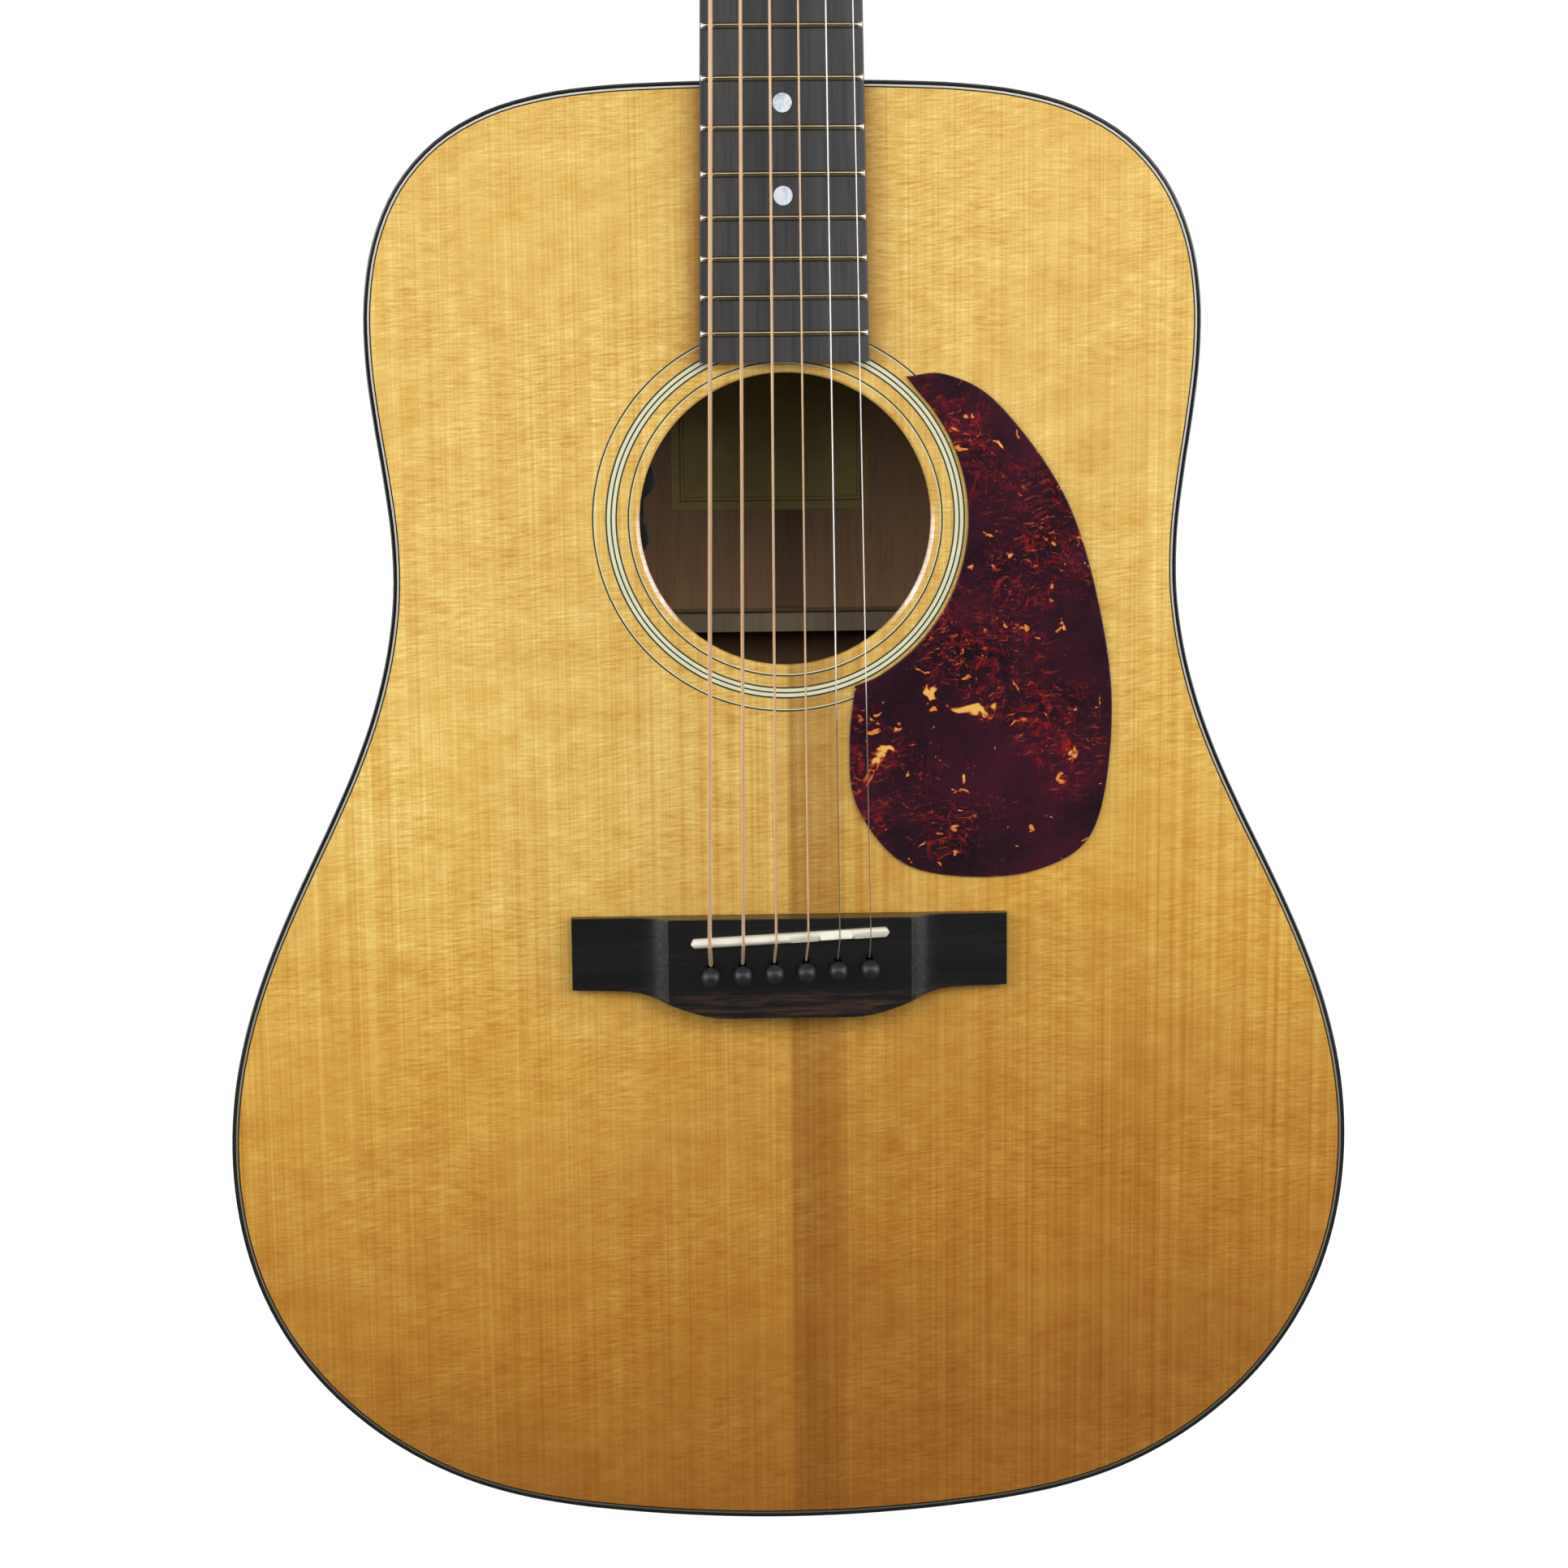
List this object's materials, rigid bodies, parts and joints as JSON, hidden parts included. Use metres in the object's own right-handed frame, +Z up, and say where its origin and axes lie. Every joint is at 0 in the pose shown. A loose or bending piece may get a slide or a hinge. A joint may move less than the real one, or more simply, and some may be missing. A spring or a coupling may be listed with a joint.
{
  "type": "acoustic guitar",
  "caption": "Steel-string dreadnought acoustic guitar with spruce top, tortoise pickguard, black bindings, pinned belly bridge, fretted neck and geared tuners.",
  "frame": {"origin": "centre of the end pin's flat outer face, the guitar's lowest point", "axes": "+Z up the neck, +X to the treble side, the soundboard faces -Y"},
  "size_m": [0.3952, 0.1412, 1.0547],
  "materials": {
    "spruce_top": "gloss lacquer over aged amber spruce",
    "brace_spruce": "bare spruce",
    "rosewood": "gloss outside, bare inside",
    "mahogany": "satin",
    "ebony": "oiled satin",
    "binding": "polished black",
    "rosette": "cream and dark lines, lacquered",
    "tortoise": "polished dark red tortoise pattern",
    "bone": "polished bone",
    "pin_plastic": "black",
    "bronze_string": "wound phosphor bronze",
    "steel_string": "plain steel",
    "rod_steel": "plain steel",
    "nickel": "polished nickel",
    "preamp_black": "fine matte"
  },
  "bodies": {
    "root": {"soundboard": "spruce_top", "back_plate": "rosewood", "side_bass": "rosewood", "side_treble": "rosewood", "top_binding": "binding", "back_binding": "binding", "neck_block": "mahogany", "tail_block": "mahogany", "top_lining": "mahogany", "back_lining": "mahogany", "rosette_ring": "rosette", "pickguard": "tortoise", "x_brace_bass": "brace_spruce", "x_brace_treble": "brace_spruce", "bridge_plate": "rosewood", "transverse_brace": "brace_spruce", "tone_bar_upper": "brace_spruce", "tone_bar_lower": "brace_spruce", "back_brace_1": "mahogany", "back_brace_2": "mahogany", "back_brace_3": "mahogany", "back_brace_4": "mahogany", "bridge": "ebony", "saddle": "bone", "nut": "bone", "fretboard": "ebony", "neck": "mahogany", "headstock_veneer": "rosewood", "truss_rod": "rod_steel", "heel_cap": "ebony", "end_pin": "pin_plastic", "preamp_housing": "preamp_black", "tuner_plate_bass": "nickel", "tuner_plate_treble": "nickel", "string_1": "steel_string", "string_2": "steel_string", "string_3": "bronze_string", "string_4": "bronze_string", "string_5": "bronze_string", "string_6": "bronze_string"},
    "knob_1": {"tuner_knob_1": "nickel"},
    "post_1": {"tuner_post_1": "nickel"},
    "pin_1": {"bridge_pin_1": "pin_plastic"},
    "knob_2": {"tuner_knob_2": "nickel"},
    "post_2": {"tuner_post_2": "nickel"},
    "pin_2": {"bridge_pin_2": "pin_plastic"},
    "knob_3": {"tuner_knob_3": "nickel"},
    "post_3": {"tuner_post_3": "nickel"},
    "pin_3": {"bridge_pin_3": "pin_plastic"},
    "knob_4": {"tuner_knob_4": "nickel"},
    "post_4": {"tuner_post_4": "nickel"},
    "pin_4": {"bridge_pin_4": "pin_plastic"},
    "knob_5": {"tuner_knob_5": "nickel"},
    "post_5": {"tuner_post_5": "nickel"},
    "pin_5": {"bridge_pin_5": "pin_plastic"},
    "knob_6": {"tuner_knob_6": "nickel"},
    "post_6": {"tuner_post_6": "nickel"},
    "pin_6": {"bridge_pin_6": "pin_plastic"},
    "volume_dial": {"volume_wheel": "preamp_black"},
    "tone_dial": {"tone_wheel": "preamp_black"}
  },
  "joints": [
    {"name": "knob_1_turn", "type": "hinge", "parent": "root", "child": "knob_1", "pos_m": [0.0245, -0.03586, 0.9064], "axis": [1, 0, 0], "continuous": true},
    {"name": "post_1_turn", "type": "hinge", "parent": "root", "child": "post_1", "pos_m": [0.0245, -0.05217, 0.9205], "axis": [0, -0.9659, 0.2588], "continuous": true},
    {"name": "pin_1_pull", "type": "slide", "parent": "root", "child": "pin_1", "axis": [0, -1, 0], "range_m": [0, 0.024]},
    {"name": "knob_2_turn", "type": "hinge", "parent": "root", "child": "knob_2", "pos_m": [0.0245, -0.02421, 0.94987], "axis": [1, 0, 0], "continuous": true},
    {"name": "post_2_turn", "type": "hinge", "parent": "root", "child": "post_2", "pos_m": [0.0245, -0.04052, 0.96397], "axis": [0, -0.9659, 0.2588], "continuous": true},
    {"name": "pin_2_pull", "type": "slide", "parent": "root", "child": "pin_2", "axis": [0, -1, 0], "range_m": [0, 0.024]},
    {"name": "knob_3_turn", "type": "hinge", "parent": "root", "child": "knob_3", "pos_m": [0.0245, -0.01256, 0.99333], "axis": [1, 0, 0], "continuous": true},
    {"name": "post_3_turn", "type": "hinge", "parent": "root", "child": "post_3", "pos_m": [0.0245, -0.02887, 1.00744], "axis": [0, -0.9659, 0.2588], "continuous": true},
    {"name": "pin_3_pull", "type": "slide", "parent": "root", "child": "pin_3", "axis": [0, -1, 0], "range_m": [0, 0.024]},
    {"name": "knob_4_turn", "type": "hinge", "parent": "root", "child": "knob_4", "pos_m": [-0.0245, -0.01256, 0.99333], "axis": [1, 0, 0], "continuous": true},
    {"name": "post_4_turn", "type": "hinge", "parent": "root", "child": "post_4", "pos_m": [-0.0245, -0.02887, 1.00744], "axis": [0, -0.9659, 0.2588], "continuous": true},
    {"name": "pin_4_pull", "type": "slide", "parent": "root", "child": "pin_4", "axis": [0, -1, 0], "range_m": [0, 0.024]},
    {"name": "knob_5_turn", "type": "hinge", "parent": "root", "child": "knob_5", "pos_m": [-0.0245, -0.02421, 0.94987], "axis": [1, 0, 0], "continuous": true},
    {"name": "post_5_turn", "type": "hinge", "parent": "root", "child": "post_5", "pos_m": [-0.0245, -0.04052, 0.96397], "axis": [0, -0.9659, 0.2588], "continuous": true},
    {"name": "pin_5_pull", "type": "slide", "parent": "root", "child": "pin_5", "axis": [0, -1, 0], "range_m": [0, 0.024]},
    {"name": "knob_6_turn", "type": "hinge", "parent": "root", "child": "knob_6", "pos_m": [-0.0245, -0.03586, 0.9064], "axis": [1, 0, 0], "continuous": true},
    {"name": "post_6_turn", "type": "hinge", "parent": "root", "child": "post_6", "pos_m": [-0.0245, -0.05217, 0.9205], "axis": [0, -0.9659, 0.2588], "continuous": true},
    {"name": "pin_6_pull", "type": "slide", "parent": "root", "child": "pin_6", "axis": [0, -1, 0], "range_m": [0, 0.024]},
    {"name": "volume_dial_turn", "type": "hinge", "parent": "root", "child": "volume_dial", "pos_m": [-0.0527, -0.0563, 0.3874], "axis": [0, -1, 0], "range_deg": [-135, 135]},
    {"name": "tone_dial_turn", "type": "hinge", "parent": "root", "child": "tone_dial", "pos_m": [-0.0551, -0.0563, 0.3673], "axis": [0, -1, 0], "range_deg": [-135, 135]}
  ],
  "couplings": [
    {"joint": "post_1_turn", "follows": "knob_1_turn", "ratio": -0.071429},
    {"joint": "post_2_turn", "follows": "knob_2_turn", "ratio": -0.071429},
    {"joint": "post_3_turn", "follows": "knob_3_turn", "ratio": -0.071429},
    {"joint": "post_4_turn", "follows": "knob_4_turn", "ratio": 0.071429},
    {"joint": "post_5_turn", "follows": "knob_5_turn", "ratio": 0.071429},
    {"joint": "post_6_turn", "follows": "knob_6_turn", "ratio": 0.071429}
  ]
}
